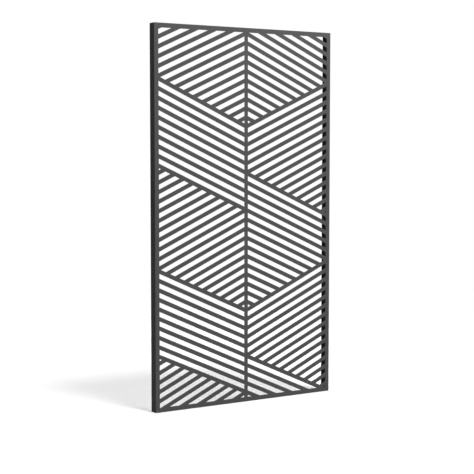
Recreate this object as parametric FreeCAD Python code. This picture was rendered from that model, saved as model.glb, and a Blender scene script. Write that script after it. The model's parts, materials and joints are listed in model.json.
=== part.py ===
import FreeCAD, Part
import math
import os

from FreeCAD import Vector

# Overall panel, in millimetres
panel_width = 1000.0
panel_height = 1800.0
frame_depth = 43.5

# Face sheet and its slanted bars
sheet_thickness = 1.5
border_width = 22.0
centre_bar_width = 20.0
bar_width = 20.0
bar_pitch = 40.4
bar_angle = math.radians(24.2)
first_apex_drop = 25.5

# A cut-out smaller than this share of a square of one bar's width stays uncut
least_cutout_share = 0.05

# Slant of a bar, seen from the front
RISING = 1
FALLING = -1

# Slant of the bars in each zone, from the top of each half down
left_slants = (RISING, FALLING, RISING, FALLING, RISING)
right_slants = (FALLING, RISING, FALLING, RISING, FALLING)

# The bar between one zone and the next: its slant, and its number counted down from the first apex
left_dividers = ((FALLING, 10), (FALLING, 19), (FALLING, 30), (FALLING, 39))
right_dividers = ((RISING, 10), (FALLING, 15), (RISING, 30), (FALLING, 35))

# Folded frame members behind the border
frame_thickness = 2.5
bend_inner_radius = 1.0
stile_flange = 15.0
rail_flange = 17.0
rail_end_gap = 0.3

# Corner gussets
gusset_thickness = 2.0
gusset_arm = 110.0
gusset_edge_gap = 0.3
gusset_corner_radius = 3.0
gusset_stud_shares = (0.35, 0.8)

# Weld studs
stile_middle_studs = 5
rail_middle_studs = 2
stud_radius = 2.0
stud_length = 12.0
stud_tip_chamfer = 0.5
stud_base_radius = 2.75
stud_base_thickness = 0.8
stud_hole_gap = 0.25

# Flange nuts
nut_across_flats = 7.0
nut_height = 4.6
nut_flange_radius = 5.0
nut_flange_thickness = 1.0
nut_chamfer = 0.4
thread_gap = 0.05

# Stile end caps
cap_flange = 4.0
cap_corner_radius = 1.0
cap_rim_radius = 0.5
plug_depth = 14.0
plug_wall = 2.0
plug_gap = 0.8
plug_corner_radius = 1.2
rib_width = 1.6
rib_gap = 0.1
rib_shares = (0.3, 0.7)

# Fixing holes in the rails
fixing_hole_radius = 4.5
fixing_spacing = 700.0

# Every cut runs this far past the face it leaves
overrun = 1.0

# Planes and lines that the pieces share
half_width = panel_width / 2
front_y = -(sheet_thickness + frame_depth) / 2
sheet_back_y = front_y + sheet_thickness
flange_back_y = sheet_back_y + frame_thickness
gusset_back_y = flange_back_y + gusset_thickness
rear_y = sheet_back_y + frame_depth
rear_inner_y = rear_y - frame_thickness
frame_middle_y = (sheet_back_y + rear_y) / 2
frame_top = panel_height - cap_flange
stile_tip_x = -half_width + stile_flange
web_inner_x = -half_width + frame_thickness
bend_outer_radius = bend_inner_radius + frame_thickness
flat_start = bend_outer_radius
stile_stud_x = -half_width + (flat_start + stile_flange) / 2
rail_stud_z = frame_top - (flat_start + rail_flange) / 2
bar_slope = math.tan(bar_angle)
bar_drop = bar_pitch / math.cos(bar_angle)
bar_rise = bar_width / math.cos(bar_angle)


def in_plan(z):
    """Places two coordinates in a level plane at this height."""
    return lambda x, y: Vector(x, y, z)


def in_front_view(y):
    """Places two coordinates in an upright plane that faces the front."""
    return lambda x, z: Vector(x, y, z)


def in_side_view(x):
    """Places two coordinates in an upright plane that faces sideways."""
    return lambda y, z: Vector(x, y, z)


def rounded_face(corners, place):
    """A flat face whose corners are two coordinates and a radius each."""
    points = [place(u, v) for u, v, radius in corners]
    edges = []
    starts = []
    ends = []
    for index, here in enumerate(points):
        radius = corners[index][2]
        to_last = (points[index - 1] - here).normalize()
        to_next = (points[(index + 1) % len(points)] - here).normalize()
        half_angle = to_last.getAngle(to_next) / 2
        setback = radius / math.tan(half_angle)
        starts.append(here + to_last * setback)
        ends.append(here + to_next * setback)
        if radius > 0:
            inward = (to_last + to_next).normalize()
            middle = here + inward * (radius / math.sin(half_angle) - radius)
            edges.append(Part.Arc(starts[-1], middle, ends[-1]).toShape())
    for last_end, start in zip(ends[-1:] + ends[:-1], starts):
        edges.append(Part.LineSegment(last_end, start).toShape())
    return Part.Face(Part.Wire(Part.__sortEdges__(edges)))


def prism(corners, place, run):
    """The solid that a rounded face sweeps along a run."""
    return rounded_face(corners, place).extrude(run)


def rod(radius, start, run):
    """A round solid from a start point along a run."""
    return Part.makeCylinder(radius, run.Length, start, run)


def flip_sideways(shape):
    """The same piece on the other side of the panel."""
    return shape.mirror(Vector(0, 0, 0), Vector(1, 0, 0))


def flip_upside_down(shape):
    """The same piece at the other end of the panel."""
    return shape.mirror(Vector(0, 0, panel_height / 2), Vector(0, 0, 1))


def clip(outline, side, slope, height):
    """What is left of a convex outline above (side 1) or below (side -1) the line z = height + slope * x."""
    def clearance(point):
        return side * (point[1] - height - slope * point[0])

    kept = []
    for last, point in zip(outline[-1:] + outline[:-1], outline):
        before = clearance(last)
        here = clearance(point)
        if here * before < 0:
            share = before / (before - here)
            kept.append(tuple(a + (b - a) * share for a, b in zip(last, point)))
        if here >= 0:
            kept.append(point)
    return kept


def area(outline):
    """Area inside an outline."""
    turns = [a[0] * b[1] - b[0] * a[1] for a, b in zip(outline, outline[1:] + outline[:1])]
    return abs(sum(turns)) / 2


def bar_edge(slant, number, side):
    """Slope, and height on the centre line, of a bar's upper (side 1) or lower (side -1) edge."""
    middle = panel_height - first_apex_drop - number * bar_drop
    return slant * bar_slope, middle + side * bar_rise / 2


def zone_outlines(window, dividers):
    """The window of one half, parted along the dividing bars."""
    zones = []
    below = window
    for slant, number in dividers:
        zones.append(clip(below, 1, *bar_edge(slant, number, 1)))
        below = clip(below, -1, *bar_edge(slant, number, -1))
    return zones + [below]


def cutouts(window, slants, dividers):
    """Outlines of the gaps between the bars of one half."""
    climb = half_width * bar_slope
    first_number = -math.ceil(climb / bar_drop)
    last_number = math.ceil((panel_height + climb) / bar_drop)
    outlines = []
    for slant, zone in zip(slants, zone_outlines(window, dividers)):
        for number in range(first_number, last_number + 1):
            above_next = clip(zone, 1, *bar_edge(slant, number, 1))
            gap = clip(above_next, -1, *bar_edge(slant, number - 1, -1))
            if area(gap) > least_cutout_share * bar_width ** 2:
                outlines.append(gap)
    return outlines


def rectangle(x_low, x_high, z_low, z_high):
    """Corners of an upright rectangle."""
    return [(x_low, z_low), (x_high, z_low), (x_high, z_high), (x_low, z_high)]


def sheet_wire(outline):
    """A closed wire in the sheet's front plane."""
    points = [Vector(x, front_y, z) for x, z in outline]
    return Part.makePolygon(points + points[:1])


def face_sheet():
    """Flat sheet with the gaps between the bars cut right through."""
    window_x = half_width - border_width
    window_top = panel_height - border_width
    bar_x = centre_bar_width / 2
    left_window = rectangle(-window_x, -bar_x, border_width, window_top)
    right_window = rectangle(bar_x, window_x, border_width, window_top)
    holes = cutouts(left_window, left_slants, left_dividers)
    holes += cutouts(right_window, right_slants, right_dividers)
    outside = rectangle(-half_width, half_width, 0, panel_height)
    face = Part.Face([sheet_wire(outline) for outline in [outside] + holes])
    return face.extrude(Vector(0, sheet_thickness, 0))


def corner_places():
    """Stud distances from a corner of the panel, along each arm of its gusset."""
    return [share * gusset_arm for share in gusset_stud_shares]


def middle_places(length, count):
    """Evenly spaced stud places between the gussets at the two ends of an edge."""
    nearest = corner_places()[-1]
    step = (length - 2 * nearest) / (count + 1)
    return [nearest + step * (index + 1) for index in range(count)]


def stile_stud_axes():
    """Stud axes on the left stile, as x and z: those through gussets, then the plain ones."""
    ends = [z for place in corner_places() for z in (place, panel_height - place)]
    middle = middle_places(panel_height, stile_middle_studs)
    return [(stile_stud_x, z) for z in ends], [(stile_stud_x, z) for z in middle]


def rail_stud_axes():
    """Stud axes on the top rail, as x and z: those through gussets, then the plain ones."""
    ends = [side * (half_width - place) for place in corner_places() for side in (-1, 1)]
    middle = [place - half_width for place in middle_places(panel_width, rail_middle_studs)]
    return [(x, rail_stud_z) for x in ends], [(x, rail_stud_z) for x in middle]


def stud_holes(axes, radius, start_y, thickness):
    """Rods that cut stud holes through a flange or plate."""
    run = Vector(0, thickness + 2 * overrun, 0)
    return [rod(radius, Vector(x, start_y - overrun, z), run) for x, z in axes]


def drill_flange(member, stud_axes):
    """A frame member with stud holes in its front flange, wide enough for the studs' weld bases."""
    on_gussets, plain = stud_axes
    radius = stud_base_radius + stud_hole_gap
    return member.cut(stud_holes(on_gussets + plain, radius, sheet_back_y, frame_thickness))


def left_stile():
    """Folded channel, open towards the middle of the panel."""
    corners = [
        (-half_width, sheet_back_y, bend_outer_radius),
        (stile_tip_x, sheet_back_y, 0),
        (stile_tip_x, flange_back_y, 0),
        (web_inner_x, flange_back_y, bend_inner_radius),
        (web_inner_x, rear_inner_y, bend_inner_radius),
        (stile_tip_x, rear_inner_y, 0),
        (stile_tip_x, rear_y, 0),
        (-half_width, rear_y, bend_outer_radius),
    ]
    channel = prism(corners, in_plan(cap_flange), Vector(0, 0, frame_top - cap_flange))
    return drill_flange(channel, stile_stud_axes())


def top_rail():
    """Folded angle between the stiles, with fixing holes in its level leg."""
    leg_underside = frame_top - frame_thickness
    corners = [
        (sheet_back_y, frame_top, bend_outer_radius),
        (rear_y, frame_top, 0),
        (rear_y, leg_underside, 0),
        (flange_back_y, leg_underside, bend_inner_radius),
        (flange_back_y, frame_top - rail_flange, 0),
        (sheet_back_y, frame_top - rail_flange, 0),
    ]
    end_x = stile_tip_x + rail_end_gap
    angle = drill_flange(prism(corners, in_side_view(end_x), Vector(-2 * end_x, 0, 0)), rail_stud_axes())
    run = Vector(0, 0, frame_thickness + 2 * overrun)
    fixing_x = fixing_spacing / 2
    starts = [Vector(x, frame_middle_y, leg_underside - overrun) for x in (-fixing_x, fixing_x)]
    return angle.cut([rod(fixing_hole_radius, start, run) for start in starts])


def top_left_gusset():
    """Flat corner plate behind the front flanges of stile and rail."""
    inset = flat_start + gusset_edge_gap
    left_x = -half_width + inset
    right_x = -half_width + gusset_arm
    high_z = frame_top - inset
    inner_z = frame_top - rail_flange
    low_z = panel_height - gusset_arm
    outline = [
        (left_x, high_z),
        (right_x, high_z),
        (right_x, inner_z),
        (stile_tip_x, inner_z),
        (stile_tip_x, low_z),
        (left_x, low_z),
    ]
    corners = [(x, z, gusset_corner_radius) for x, z in outline]
    plate = prism(corners, in_front_view(flange_back_y), Vector(0, gusset_thickness, 0))
    axes = [(stile_stud_x, panel_height - place) for place in corner_places()]
    axes += [(place - half_width, rail_stud_z) for place in corner_places()]
    return plate.cut(stud_holes(axes, stud_radius + stud_hole_gap, flange_back_y, gusset_thickness))


def stud(x, z):
    """Threaded stud whose weld base sits on the back of the sheet."""
    foot = Vector(x, sheet_back_y, z)
    backwards = Vector(0, 1, 0)
    straight = stud_length - stud_tip_chamfer
    base = rod(stud_base_radius, foot, backwards * stud_base_thickness)
    shank = rod(stud_radius, foot, backwards * straight)
    tip = Part.makeCone(stud_radius, stud_radius - stud_tip_chamfer, stud_tip_chamfer,
                        foot + backwards * straight, backwards)
    return base.fuse([shank, tip]).removeSplitter()


def nut(x, seat_y, z):
    """Hexagon nut with a round flange against its seat."""
    seat = Vector(x, seat_y, z)
    backwards = Vector(0, 1, 0)
    corner_radius = nut_across_flats / 2 / math.cos(math.pi / 6)
    turns = [index * math.pi / 3 for index in range(6)]
    corners = [(x + corner_radius * math.cos(turn), z + corner_radius * math.sin(turn), 0) for turn in turns]
    hexagon = prism(corners, in_front_view(seat_y), backwards * nut_height)
    straight = nut_height - nut_chamfer
    crown = Part.makeCone(corner_radius, corner_radius - 2 * nut_chamfer, nut_chamfer,
                          seat + backwards * straight, backwards)
    envelope = rod(corner_radius, seat, backwards * straight).fuse(crown)
    flange = rod(nut_flange_radius, seat, backwards * nut_flange_thickness)
    bore = rod(stud_radius + thread_gap, seat - backwards * overrun, backwards * (nut_height + 2 * overrun))
    return hexagon.common(envelope).fuse(flange).cut(bore).removeSplitter()


def stud_group(stud_axes):
    """All studs of one frame member."""
    on_gussets, plain = stud_axes
    return Part.makeCompound([stud(x, z) for x, z in on_gussets + plain])


def nut_group(stud_axes):
    """All nuts of one frame member, on the gussets or on the bare flange."""
    on_gussets, plain = stud_axes
    nuts = [nut(x, gusset_back_y, z) for x, z in on_gussets]
    nuts += [nut(x, flange_back_y, z) for x, z in plain]
    return Part.makeCompound(nuts)


def cap_cover():
    """The part of an end cap that covers the end of a stile."""
    corners = [
        (-half_width, sheet_back_y, bend_outer_radius),
        (stile_tip_x, sheet_back_y, cap_corner_radius),
        (stile_tip_x, rear_y, cap_corner_radius),
        (-half_width, rear_y, bend_outer_radius),
    ]
    cover = prism(corners, in_plan(frame_top), Vector(0, 0, cap_flange))
    rim = [edge for edge in cover.Edges if edge.BoundBox.ZMin > frame_top + cap_flange / 2]
    return cover.makeFillet(cap_rim_radius, rim)


def cap_plug():
    """The hollow, ribbed part of an end cap that goes into the channel."""
    x_low = web_inner_x + plug_gap
    x_high = stile_tip_x - plug_gap
    y_low = gusset_back_y + plug_gap
    y_high = rear_inner_y - plug_gap
    plug_end = frame_top - plug_depth
    outline = [(x_low, y_low), (x_high, y_low), (x_high, y_high), (x_low, y_high)]
    corners = [(x, y, plug_corner_radius) for x, y in outline]
    body = prism(corners, in_plan(plug_end), Vector(0, 0, plug_depth))
    pocket_corner = Vector(x_low + plug_wall, y_low + plug_wall, plug_end - overrun)
    pocket_width = x_high - x_low - 2 * plug_wall
    pocket_length = y_high - y_low - 2 * plug_wall
    pocket = Part.makeBox(pocket_width, pocket_length, plug_depth + overrun, pocket_corner)
    reach = plug_gap - rib_gap
    ribs = []
    for share in rib_shares:
        x = x_low + share * (x_high - x_low) - rib_width / 2
        for y in (y_low - reach, y_high):
            ribs.append(Part.makeBox(rib_width, reach, plug_depth, Vector(x, y, plug_end)))
    return body.cut(pocket).fuse(ribs)


def top_left_cap():
    """End cap of a stile, cover and plug in one."""
    return cap_cover().fuse(cap_plug()).removeSplitter()


def all_nodes():
    """Every piece of the panel by name."""
    nodes = {"face_sheet": face_sheet()}
    stile_pieces = {"stile": left_stile(), "stile_studs": stud_group(stile_stud_axes()),
                    "stile_nuts": nut_group(stile_stud_axes())}
    for kind, piece in stile_pieces.items():
        nodes[f"left_{kind}"] = piece
        nodes[f"right_{kind}"] = flip_sideways(piece)
    rail_pieces = {"rail": top_rail(), "rail_studs": stud_group(rail_stud_axes()),
                   "rail_nuts": nut_group(rail_stud_axes())}
    for kind, piece in rail_pieces.items():
        nodes[f"top_{kind}"] = piece
        nodes[f"bottom_{kind}"] = flip_upside_down(piece)
    corner_pieces = {"gusset": top_left_gusset(), "cap": top_left_cap()}
    for kind, piece in corner_pieces.items():
        nodes[f"top_left_{kind}"] = piece
        nodes[f"top_right_{kind}"] = flip_sideways(piece)
        nodes[f"bottom_left_{kind}"] = flip_upside_down(piece)
        nodes[f"bottom_right_{kind}"] = flip_sideways(flip_upside_down(piece))
    return nodes


os.makedirs("parts", exist_ok=True)
for name, shape in all_nodes().items():
    shape.exportStep(f"parts/{name}.step")
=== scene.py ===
import json
import math

import bmesh
import bpy
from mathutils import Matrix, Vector


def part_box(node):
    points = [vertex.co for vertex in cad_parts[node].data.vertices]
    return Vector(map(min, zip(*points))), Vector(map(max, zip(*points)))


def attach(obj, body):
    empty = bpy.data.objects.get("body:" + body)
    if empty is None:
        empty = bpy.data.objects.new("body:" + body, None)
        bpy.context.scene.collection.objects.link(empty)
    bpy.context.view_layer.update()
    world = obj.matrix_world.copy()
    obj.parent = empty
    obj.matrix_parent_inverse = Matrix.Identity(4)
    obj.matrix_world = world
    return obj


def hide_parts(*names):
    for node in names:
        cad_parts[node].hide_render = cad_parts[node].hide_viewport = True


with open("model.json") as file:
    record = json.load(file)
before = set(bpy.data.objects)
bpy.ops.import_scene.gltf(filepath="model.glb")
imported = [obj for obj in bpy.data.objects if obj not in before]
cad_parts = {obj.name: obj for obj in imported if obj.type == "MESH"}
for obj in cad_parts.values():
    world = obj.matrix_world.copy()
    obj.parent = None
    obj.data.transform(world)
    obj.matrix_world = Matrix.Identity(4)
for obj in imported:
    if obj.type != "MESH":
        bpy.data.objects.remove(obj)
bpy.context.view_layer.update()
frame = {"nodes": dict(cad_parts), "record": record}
nodes = frame["nodes"]
scene = bpy.context.scene


# Small helpers for node trees

# Sockets of a colour mix node
MIX_UNDER = 6
MIX_OVER = 7
MIX_RESULT = 2


def new_material(name):
    """An empty node material and its node tree."""
    material = bpy.data.materials.new(name)
    material.use_nodes = True
    tree = material.node_tree
    tree.nodes.clear()
    return material, tree


def add(tree, kind, **settings):
    """A node of this kind. Settings with a capital letter are input values, the others properties."""
    node = tree.nodes.new(kind)
    for key, value in settings.items():
        if key[0].isupper():
            node.inputs[key.replace("_", " ")].default_value = value
        else:
            setattr(node, key, value)
    return node


def join(tree, output, target):
    """Links one node's output to another's input."""
    tree.links.new(output, target)


def object_place(tree):
    """Where a point is on its piece, in metres."""
    return add(tree, "ShaderNodeTexCoord").outputs["Object"]


def noise(tree, place, scale, detail, roughness):
    """A noise texture of so many cells per metre; gives its grey value."""
    node = add(tree, "ShaderNodeTexNoise", Scale=scale, Detail=detail, Roughness=roughness)
    join(tree, place, node.inputs["Vector"])
    return node.outputs["Fac"]


def spread(tree, value, low, high, to_low=0.0, to_high=1.0):
    """The value from low to high, mapped to another range and held inside it."""
    node = add(tree, "ShaderNodeMapRange", From_Min=low, From_Max=high, To_Min=to_low, To_Max=to_high)
    join(tree, value, node.inputs["Value"])
    return node.outputs["Result"]


def times(tree, first, second):
    """The product of a node's output and a number or another output."""
    node = add(tree, "ShaderNodeMath", operation="MULTIPLY")
    join(tree, first, node.inputs[0])
    if isinstance(second, float):
        node.inputs[1].default_value = second
    else:
        join(tree, second, node.inputs[1])
    return node.outputs[0]


def larger(tree, first, second):
    """The larger of two outputs."""
    node = add(tree, "ShaderNodeMath", operation="MAXIMUM")
    join(tree, first, node.inputs[0])
    join(tree, second, node.inputs[1])
    return node.outputs[0]


def blend_colour(tree, share, under, over):
    """Colour `over` laid on `under` by a share. A colour is three numbers or another node's output."""
    node = add(tree, "ShaderNodeMix", data_type="RGBA")
    join(tree, share, node.inputs["Factor"])
    for colour, socket in ((under, node.inputs[MIX_UNDER]), (over, node.inputs[MIX_OVER])):
        if isinstance(colour, tuple):
            socket.default_value = (*colour, 1.0)
        else:
            join(tree, colour, socket)
    return node.outputs[MIX_RESULT]


def edge_wear(tree, place, reach, patch_scale):
    """How worn a point is: 1 on outer edges where patches of rubbing meet them, 0 on the flats."""
    rounded = add(tree, "ShaderNodeBevel", samples=6, Radius=reach)
    flat = add(tree, "ShaderNodeNewGeometry")
    facing = add(tree, "ShaderNodeVectorMath", operation="DOT_PRODUCT")
    join(tree, rounded.outputs["Normal"], facing.inputs[0])
    join(tree, flat.outputs["True Normal"], facing.inputs[1])
    near_edge = spread(tree, facing.outputs["Value"], low=0.985, high=0.80)
    rubbing = noise(tree, place, patch_scale, detail=4.0, roughness=0.6)
    return times(tree, near_edge, spread(tree, rubbing, low=0.42, high=0.68))


def settled_dust(tree, place):
    """How dusty a point is: more on faces that look up."""
    facing = add(tree, "ShaderNodeNewGeometry")
    split = add(tree, "ShaderNodeSeparateXYZ")
    join(tree, facing.outputs["Normal"], split.inputs[0])
    upward = spread(tree, split.outputs["Z"], low=0.55, high=0.95)
    drifts = noise(tree, place, scale=30.0, detail=5.0, roughness=0.65)
    return times(tree, upward, spread(tree, drifts, low=0.3, high=0.75))


def finish_material(tree, colour, roughness, height, relief, **settings):
    """The shader and output of a material, with its colour, roughness and relief from nodes."""
    shader = add(tree, "ShaderNodeBsdfPrincipled", **settings)
    bump = add(tree, "ShaderNodeBump", Strength=1.0, Distance=relief)
    join(tree, height, bump.inputs["Height"])
    join(tree, bump.outputs["Normal"], shader.inputs["Normal"])
    join(tree, colour, shader.inputs["Base Color"])
    join(tree, roughness, shader.inputs["Roughness"])
    output = add(tree, "ShaderNodeOutputMaterial")
    join(tree, shader.outputs["BSDF"], output.inputs["Surface"])


# Finishes

COAT_DARK = (0.080, 0.081, 0.0805)
COAT_LIGHT = (0.091, 0.092, 0.0915)
COAT_GRAIN = (0.107, 0.108, 0.1075)
COAT_FLECK = (0.060, 0.061, 0.0605)
COAT_RUBBED = (0.19, 0.19, 0.185)
COAT_RUBBED_SHARE = 0.45
COAT_DUST = (0.30, 0.29, 0.27)
COAT_DUST_SHARE = 0.25
FLECK_RELIEF_SHARE = 0.8
PLASTIC_DARK = (0.012, 0.012, 0.012)
PLASTIC_LIGHT = (0.018, 0.018, 0.018)
PLASTIC_SCUFFED = (0.075, 0.075, 0.075)
PLASTIC_SCUFFED_SHARE = 0.5
PLASTIC_DUST = (0.25, 0.24, 0.22)
PLASTIC_DUST_SHARE = 0.15
ZINC_BLUISH = (0.56, 0.58, 0.61)
ZINC_STRAW = (0.62, 0.60, 0.55)
ZINC_RUBBED = (0.74, 0.74, 0.73)
ZINC_RUBBED_SHARE = 0.6


def coated_steel():
    """Matt anthracite powder coat: fine sandy grain, faint clouds, rubbed edges, a little dust."""
    material, tree = new_material("coated_steel_finish")
    place = object_place(tree)
    clouds = noise(tree, place, scale=5.0, detail=4.0, roughness=0.55)
    grain = noise(tree, place, scale=1100.0, detail=3.0, roughness=0.6)
    flecks = noise(tree, place, scale=420.0, detail=2.0, roughness=0.5)
    cloud_share = spread(tree, clouds, low=0.3, high=0.7)
    grain_share = spread(tree, grain, low=0.35, high=0.7, to_high=0.5)
    fleck_share = spread(tree, flecks, low=0.62, high=0.72, to_high=0.35)
    wear = edge_wear(tree, place, reach=0.0011, patch_scale=55.0)
    rubbed_share = times(tree, wear, COAT_RUBBED_SHARE)
    dust_share = times(tree, settled_dust(tree, place), COAT_DUST_SHARE)
    colour = blend_colour(tree, cloud_share, COAT_DARK, COAT_LIGHT)
    colour = blend_colour(tree, grain_share, colour, COAT_GRAIN)
    colour = blend_colour(tree, fleck_share, colour, COAT_FLECK)
    colour = blend_colour(tree, rubbed_share, colour, COAT_RUBBED)
    colour = blend_colour(tree, dust_share, colour, COAT_DUST)
    height = add(tree, "ShaderNodeMath", operation="MULTIPLY_ADD")
    join(tree, flecks, height.inputs[0])
    height.inputs[1].default_value = FLECK_RELIEF_SHARE
    join(tree, grain, height.inputs[2])
    rough = spread(tree, grain, low=0.3, high=0.7, to_low=0.68, to_high=0.84)
    finish_material(tree, colour, rough, height.outputs[0], relief=0.00007, Specular_IOR_Level=0.03)
    return material


def cap_plastic():
    """Black moulded plastic with a fine spark-eroded grain and scuffed edges."""
    material, tree = new_material("cap_plastic_finish")
    place = object_place(tree)
    clouds = noise(tree, place, scale=60.0, detail=3.0, roughness=0.5)
    grain = noise(tree, place, scale=2200.0, detail=2.0, roughness=0.5)
    cloud_share = spread(tree, clouds, low=0.3, high=0.7)
    wear = edge_wear(tree, place, reach=0.0008, patch_scale=140.0)
    scuffed_share = times(tree, wear, PLASTIC_SCUFFED_SHARE)
    dust_share = times(tree, settled_dust(tree, place), PLASTIC_DUST_SHARE)
    colour = blend_colour(tree, cloud_share, PLASTIC_DARK, PLASTIC_LIGHT)
    colour = blend_colour(tree, scuffed_share, colour, PLASTIC_SCUFFED)
    colour = blend_colour(tree, dust_share, colour, PLASTIC_DUST)
    rough = spread(tree, clouds, low=0.3, high=0.7, to_low=0.44, to_high=0.58)
    finish_material(tree, colour, rough, grain, relief=0.00003, Specular_IOR_Level=0.35)
    return material


def zinc_steel():
    """Bright zinc plate on fasteners: faint bluish and straw patches, brighter on rubbed edges."""
    material, tree = new_material("zinc_steel_finish")
    place = object_place(tree)
    patches = noise(tree, place, scale=260.0, detail=3.0, roughness=0.55)
    marks = noise(tree, place, scale=1900.0, detail=3.0, roughness=0.6)
    patch_share = spread(tree, patches, low=0.35, high=0.65)
    wear = edge_wear(tree, place, reach=0.0004, patch_scale=500.0)
    rubbed_share = times(tree, wear, ZINC_RUBBED_SHARE)
    colour = blend_colour(tree, patch_share, ZINC_BLUISH, ZINC_STRAW)
    colour = blend_colour(tree, rubbed_share, colour, ZINC_RUBBED)
    rough = spread(tree, marks, low=0.3, high=0.7, to_low=0.26, to_high=0.44)
    finish_material(tree, colour, rough, marks, relief=0.00001, Metallic=1.0)
    return material


finishes = {"coated_steel": coated_steel(), "cap_plastic": cap_plastic(), "zinc_steel": zinc_steel()}


# Small roundings that folding, cutting and coating leave on the edges of the pieces

# Radius by the node's name or its last word
EDGE_RADII = {
    "face_sheet": 0.00030,
    "stile": 0.00035,
    "rail": 0.00035,
    "gusset": 0.00030,
    "cap": 0.00020,
    "nuts": 0.00015,
    "studs": 0.00015,
}
SEAM_GAP = 0.000005
FLAT_ANGLE = math.radians(0.5)
SHARP_ANGLE = math.radians(35)
ROUNDING_STEPS = 2
LARGE_FACE_WEIGHT = 100


def round_edges(piece, radius):
    """Closes the seams between a mesh's faces, rounds its sharp edges evenly, and cuts it into triangles."""
    weld = piece.modifiers.new("seams", "WELD")
    weld.merge_threshold = SEAM_GAP
    flats = piece.modifiers.new("flats", "DECIMATE")
    flats.decimate_type = "DISSOLVE"
    flats.angle_limit = FLAT_ANGLE
    bevel = piece.modifiers.new("rounding", "BEVEL")
    bevel.width = radius
    bevel.segments = ROUNDING_STEPS
    bevel.limit_method = "ANGLE"
    bevel.angle_limit = SHARP_ANGLE
    bevel.use_clamp_overlap = False
    bevel.loop_slide = False
    bevel.miter_outer = "MITER_PATCH"
    normals = piece.modifiers.new("shading", "WEIGHTED_NORMAL")
    normals.mode = "FACE_AREA"
    normals.weight = LARGE_FACE_WEIGHT
    triangles = piece.modifiers.new("triangles", "TRIANGULATE")
    triangles.quad_method = "BEAUTY"
    triangles.ngon_method = "BEAUTY"
    triangles.keep_custom_normals = True


for subpart in frame["record"]["subparts"]:
    name = subpart["node"]
    piece = nodes[name]
    for material_slot in piece.material_slots:
        material_slot.material = finishes[subpart["material_slot"]]
    kind = name if name in EDGE_RADII else name.split("_")[-1]
    round_edges(piece, EDGE_RADII[kind])


# Studs with a real thread, in place of the plain ones

THREAD_RADIUS = 0.002
THREAD_PITCH = 0.0007
THREAD_DEPTH = 0.00043
THREAD_SIDES = 18
RINGS_PER_PITCH = 6
FLANK_STEEPNESS = 1.3
ROOT_FLAT_SHARE = 0.1
WELD_RADIUS = 0.00275
WELD_THICKNESS = 0.0008
WELD_STRAIGHT_SHARE = 0.8
TIP_TAPER = 0.0005
STUD_LEAST_SPACING = 0.02


def middle(points, axis):
    """Halfway between the least and the greatest of some points along an axis."""
    places = [point[axis] for point in points]
    return (min(places) + max(places)) / 2


def stud_centres(node):
    """Where the studs of a node stand, as x and z, read from its mesh."""
    points = [vertex.co for vertex in nodes[node].data.vertices]
    low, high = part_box(node)
    along = 0 if high[0] - low[0] > high[2] - low[2] else 2
    groups = []
    for point in sorted(points, key=lambda point: point[along]):
        if not groups or point[along] - groups[-1][-1][along] > STUD_LEAST_SPACING:
            groups.append([])
        groups[-1].append(point)
    return [(middle(group, 0), middle(group, 2)) for group in groups]


def thread_radius(height, turn):
    """Radius of a thread at a height along it and an angle round it, in full turns."""
    from_crest = abs((height / THREAD_PITCH - turn) % 1.0 - 0.5) * 2
    flank = min(1.0, max(0.0, FLANK_STEEPNESS * (1.0 - from_crest) - ROOT_FLAT_SHARE))
    return THREAD_RADIUS - THREAD_DEPTH * (1.0 - flank)


def weld_base_rings():
    """Heights and radii of the rings round a stud's weld base: a straight wall, then a chamfer."""
    straight = WELD_THICKNESS * WELD_STRAIGHT_SHARE
    rim_radius = WELD_RADIUS - (WELD_THICKNESS - straight)
    rings = [(0.0, WELD_RADIUS), (straight, WELD_RADIUS), (WELD_THICKNESS, rim_radius)]
    return [(height, [radius] * THREAD_SIDES) for height, radius in rings]


def thread_rings(length):
    """Heights and radii of the rings along a stud's thread, up to its tapered tip."""
    thread_length = length - WELD_THICKNESS
    count = round(thread_length / THREAD_PITCH * RINGS_PER_PITCH)
    rings = []
    for index in range(count + 1):
        height = WELD_THICKNESS + thread_length * index / count
        limit = THREAD_RADIUS - max(0.0, height - (length - TIP_TAPER))
        turns = [side / THREAD_SIDES for side in range(THREAD_SIDES)]
        rings.append((height, [min(limit, thread_radius(height, turn)) for turn in turns]))
    return rings


def add_stud(shape, rings, foot):
    """Adds one stud of these rings, from its foot backwards."""
    x, y, z = foot
    loops = []
    for height, radii in rings:
        loop = []
        for side, radius in enumerate(radii):
            angle = side / THREAD_SIDES * math.tau
            point = (x + radius * math.cos(angle), y + height, z + radius * math.sin(angle))
            loop.append(shape.verts.new(point))
        loops.append(loop)
    for lower, upper in zip(loops, loops[1:]):
        for side in range(THREAD_SIDES):
            following = (side + 1) % THREAD_SIDES
            face = shape.faces.new((lower[side], upper[side], upper[following], lower[following]))
            face.smooth = True
    shape.faces.new(loops[0])
    shape.faces.new(loops[-1][::-1])


def threaded_studs(node):
    """A piece that stands in for a node of plain studs."""
    low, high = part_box(node)
    rings = weld_base_rings() + thread_rings(high[1] - low[1])
    shape = bmesh.new()
    for x, z in stud_centres(node):
        add_stud(shape, rings, (x, low[1], z))
    mesh = bpy.data.meshes.new(node + "_threaded")
    shape.to_mesh(mesh)
    shape.free()
    mesh.materials.append(finishes["zinc_steel"])
    piece = bpy.data.objects.new(node + "_threaded", mesh)
    scene.collection.objects.link(piece)
    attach(piece, "root")
    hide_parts(node)


for member in ("left_stile", "right_stile", "top_rail", "bottom_rail"):
    threaded_studs(member + "_studs")


# Studio: a pale floor, a high key light from the front right, a soft fill from behind, soft light all round

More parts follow.
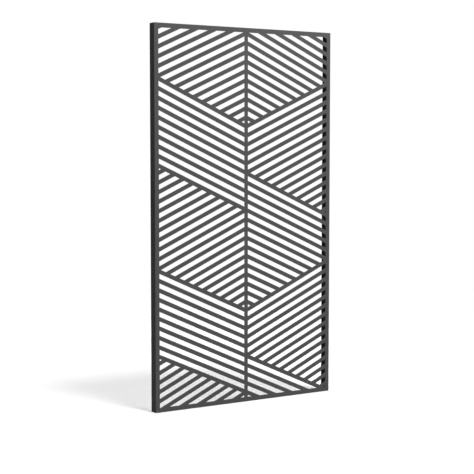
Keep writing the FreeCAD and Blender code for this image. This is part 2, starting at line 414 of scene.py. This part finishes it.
FLOOR_RADIUS = 3.6
FLOOR_SIDES = 96
FLOOR_GREY = 0.60
FLOOR_BOUNCE = 0.27
FLOOR_WHITE = 0.31
SOFT_LEFT = 0.17
SOFT_RIGHT = 0.40
SUN_DISTANCE = 8.0
KEY_STRENGTH = 2.75
KEY_TURN = math.radians(10.0)
KEY_HEIGHT = math.radians(63.0)
KEY_SPREAD = math.radians(12.5)
REAR_STRENGTH = 1.2
REAR_TURN = math.radians(140.0)
REAR_HEIGHT = math.radians(32.0)
REAR_SPREAD = math.radians(60.0)
HEAD_STRENGTH = 32.0
HEAD_PLACE = (0.6, -1.5, 3.0)
HEAD_TARGET = (0.0, 0.0, 1.5)
HEAD_WIDTH = 1.8
HEAD_LENGTH = 1.0
PANEL_FOOT = (0.0, 0.0, 0.0)
WHITE = (1.0, 1.0, 1.0, 1.0)


def seen_directly(tree):
    """1 for a ray from the camera, a reflection or a transmission, 0 for light on its way to a surface."""
    path = add(tree, "ShaderNodeLightPath")
    either = larger(tree, path.outputs["Is Camera Ray"], path.outputs["Is Glossy Ray"])
    return larger(tree, either, path.outputs["Is Transmission Ray"])


def floor_paper():
    """Pale paper that shows as white where it is lit and keeps a shadow."""
    material, tree = new_material("floor_paper")
    paper = add(tree, "ShaderNodeBsdfDiffuse")
    glow = add(tree, "ShaderNodeEmission", Color=WHITE)
    seen = seen_directly(tree)
    join(tree, blend_colour(tree, seen, (FLOOR_BOUNCE,) * 3, (FLOOR_GREY,) * 3), paper.inputs["Color"])
    join(tree, times(tree, seen, FLOOR_WHITE), glow.inputs["Strength"])
    both = add(tree, "ShaderNodeAddShader")
    join(tree, paper.outputs[0], both.inputs[0])
    join(tree, glow.outputs[0], both.inputs[1])
    output = add(tree, "ShaderNodeOutputMaterial")
    join(tree, both.outputs[0], output.inputs["Surface"])
    return material


def ground():
    """A round floor under the panel."""
    mesh = bpy.data.meshes.new("floor")
    shape = bmesh.new()
    bmesh.ops.create_circle(shape, cap_ends=True, segments=FLOOR_SIDES, radius=FLOOR_RADIUS)
    shape.to_mesh(mesh)
    shape.free()
    mesh.materials.append(floor_paper())
    plane = bpy.data.objects.new("floor", mesh)
    scene.collection.objects.link(plane)


def surroundings():
    """White where it is seen, a soft grey where it lights, brighter on the right."""
    world = bpy.data.worlds.new("studio")
    world.use_nodes = True
    tree = world.node_tree
    tree.nodes.clear()
    white = add(tree, "ShaderNodeBackground", Color=WHITE, Strength=1.0)
    soft = add(tree, "ShaderNodeBackground", Color=WHITE)
    direction = add(tree, "ShaderNodeSeparateXYZ")
    join(tree, add(tree, "ShaderNodeTexCoord").outputs["Generated"], direction.inputs[0])
    level = spread(tree, direction.outputs["X"], low=-0.3, high=0.9, to_low=SOFT_LEFT, to_high=SOFT_RIGHT)
    join(tree, level, soft.inputs["Strength"])
    pick = add(tree, "ShaderNodeMixShader")
    join(tree, seen_directly(tree), pick.inputs[0])
    join(tree, soft.outputs[0], pick.inputs[1])
    join(tree, white.outputs[0], pick.inputs[2])
    output = add(tree, "ShaderNodeOutputWorld")
    join(tree, pick.outputs[0], output.inputs["Surface"])
    scene.world = world


def place_light(name, kind, strength, position, target, **settings):
    """A lamp at a position that shines at a target."""
    light = bpy.data.lights.new(name, kind)
    light.energy = strength
    for key, value in settings.items():
        setattr(light, key, value)
    lamp = bpy.data.objects.new(name, light)
    lamp.location = position
    lamp.rotation_euler = (Vector(target) - Vector(position)).to_track_quat("-Z", "Y").to_euler()
    scene.collection.objects.link(lamp)


def towards(turn, height):
    """A far point in a direction: turned to the right from straight ahead of the panel, and raised."""
    level = math.cos(height)
    return SUN_DISTANCE * Vector((math.sin(turn) * level, -math.cos(turn) * level, math.sin(height)))


scene.view_settings.view_transform = "Standard"
ground()
surroundings()
place_light("key", "SUN", KEY_STRENGTH, towards(KEY_TURN, KEY_HEIGHT), PANEL_FOOT, angle=KEY_SPREAD)
place_light("rear_fill", "SUN", REAR_STRENGTH, towards(REAR_TURN, REAR_HEIGHT), PANEL_FOOT, angle=REAR_SPREAD)
place_light("head_light", "AREA", HEAD_STRENGTH, HEAD_PLACE, HEAD_TARGET, shape="RECTANGLE",
            size=HEAD_WIDTH, size_y=HEAD_LENGTH)


# Camera as in the photograph

IMAGE_SIDE = 474
FOCAL_PIXELS = 1238.6
SENSOR = 36.0
CAMERA_PLACE = (-3.2497, -5.0093, 1.2327)
CAMERA_DOWNWARD = math.radians(4.140)
CAMERA_TURN = math.radians(32.666)
LEVEL = math.radians(90.0)

lens = bpy.data.cameras.new("camera")
lens.sensor_width = SENSOR
lens.lens = FOCAL_PIXELS / IMAGE_SIDE * SENSOR
camera = bpy.data.objects.new("camera", lens)
camera.location = CAMERA_PLACE
camera.rotation_euler = (LEVEL - CAMERA_DOWNWARD, 0.0, -CAMERA_TURN)
scene.collection.objects.link(camera)
scene.camera = camera
